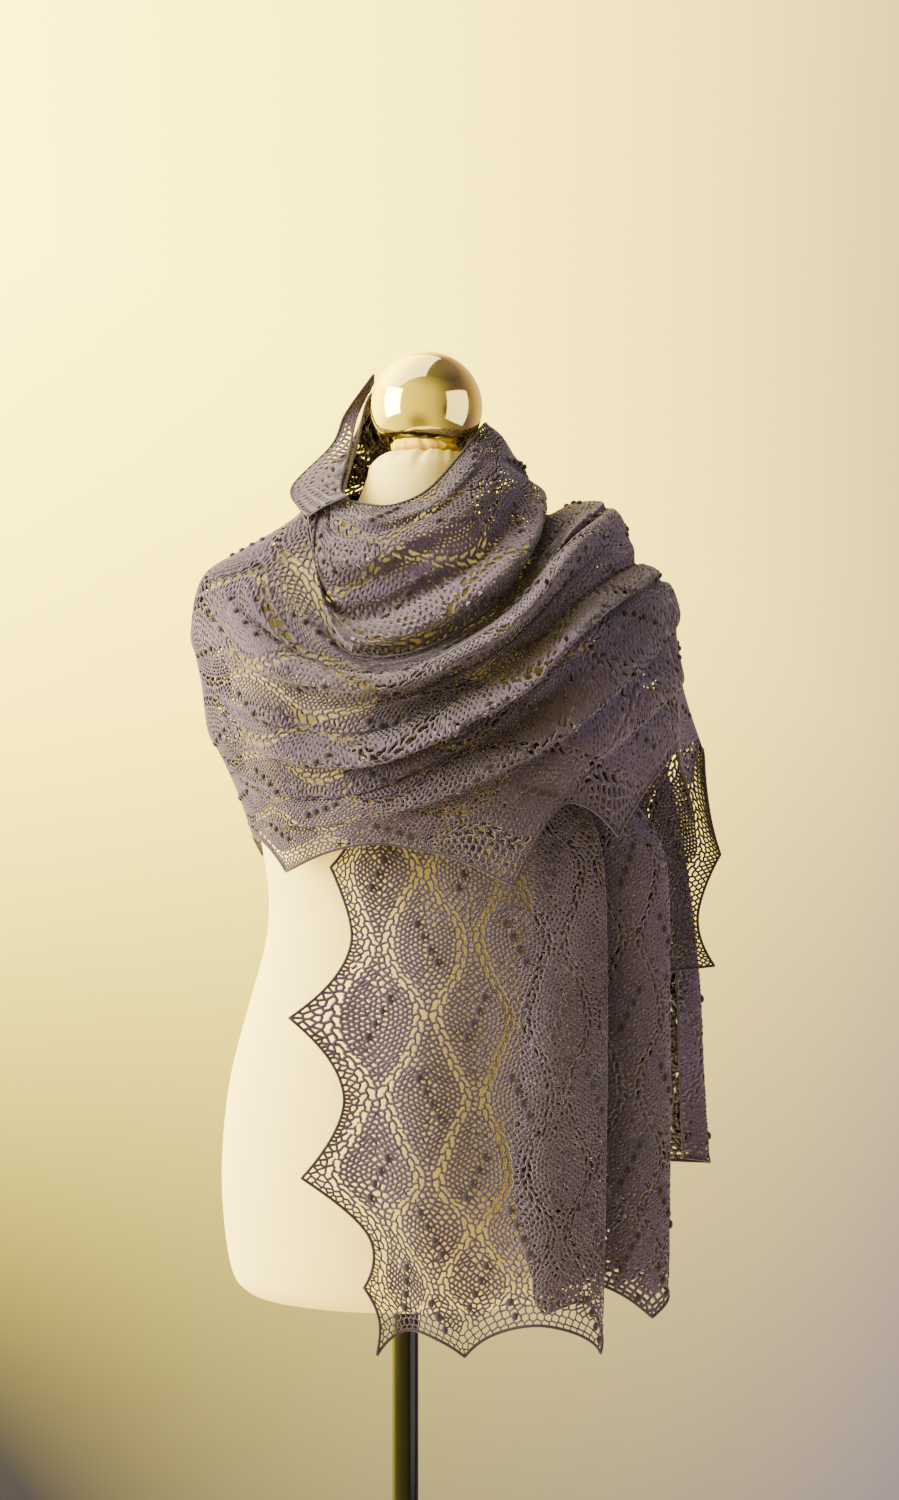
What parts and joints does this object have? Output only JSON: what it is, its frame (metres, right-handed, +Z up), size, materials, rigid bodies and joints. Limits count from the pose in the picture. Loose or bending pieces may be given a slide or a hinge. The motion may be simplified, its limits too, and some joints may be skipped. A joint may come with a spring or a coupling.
{
  "type": "lace shawl on a dress form",
  "caption": "Rectangular knitted lace shawl wrapped round the neck and shoulders of a limbless dress form on a pole stand.",
  "frame": {"origin": "centre of the round foot's underside, on the floor and on the pole's axis", "axes": "+Z up the pole, the form faces -Y, and the falls of the shawl lie on the +X side"},
  "size_m": [0.5019, 0.35, 1.6044],
  "materials": {
    "lace_knit": "soft brushed wool knit",
    "cream_jersey": "fine stretched jersey",
    "polished_brass": "mirror polished",
    "polished_steel": "polished",
    "painted_foot": "satin paint"
  },
  "bodies": {
    "root": {"neck_roll_front": "lace_knit", "neck_roll_back": "lace_knit", "neck_flap": "lace_knit", "chest_wrap": "lace_knit", "back_wrap": "lace_knit", "shoulder_wrap": "lace_knit", "front_fall_outer": "lace_knit", "front_fall_inner": "lace_knit", "back_fall_under": "lace_knit", "back_fall_over": "lace_knit", "torso": "cream_jersey", "neck_ball": "polished_brass", "pole": "polished_steel", "base": "painted_foot"}
  },
  "joints": []
}
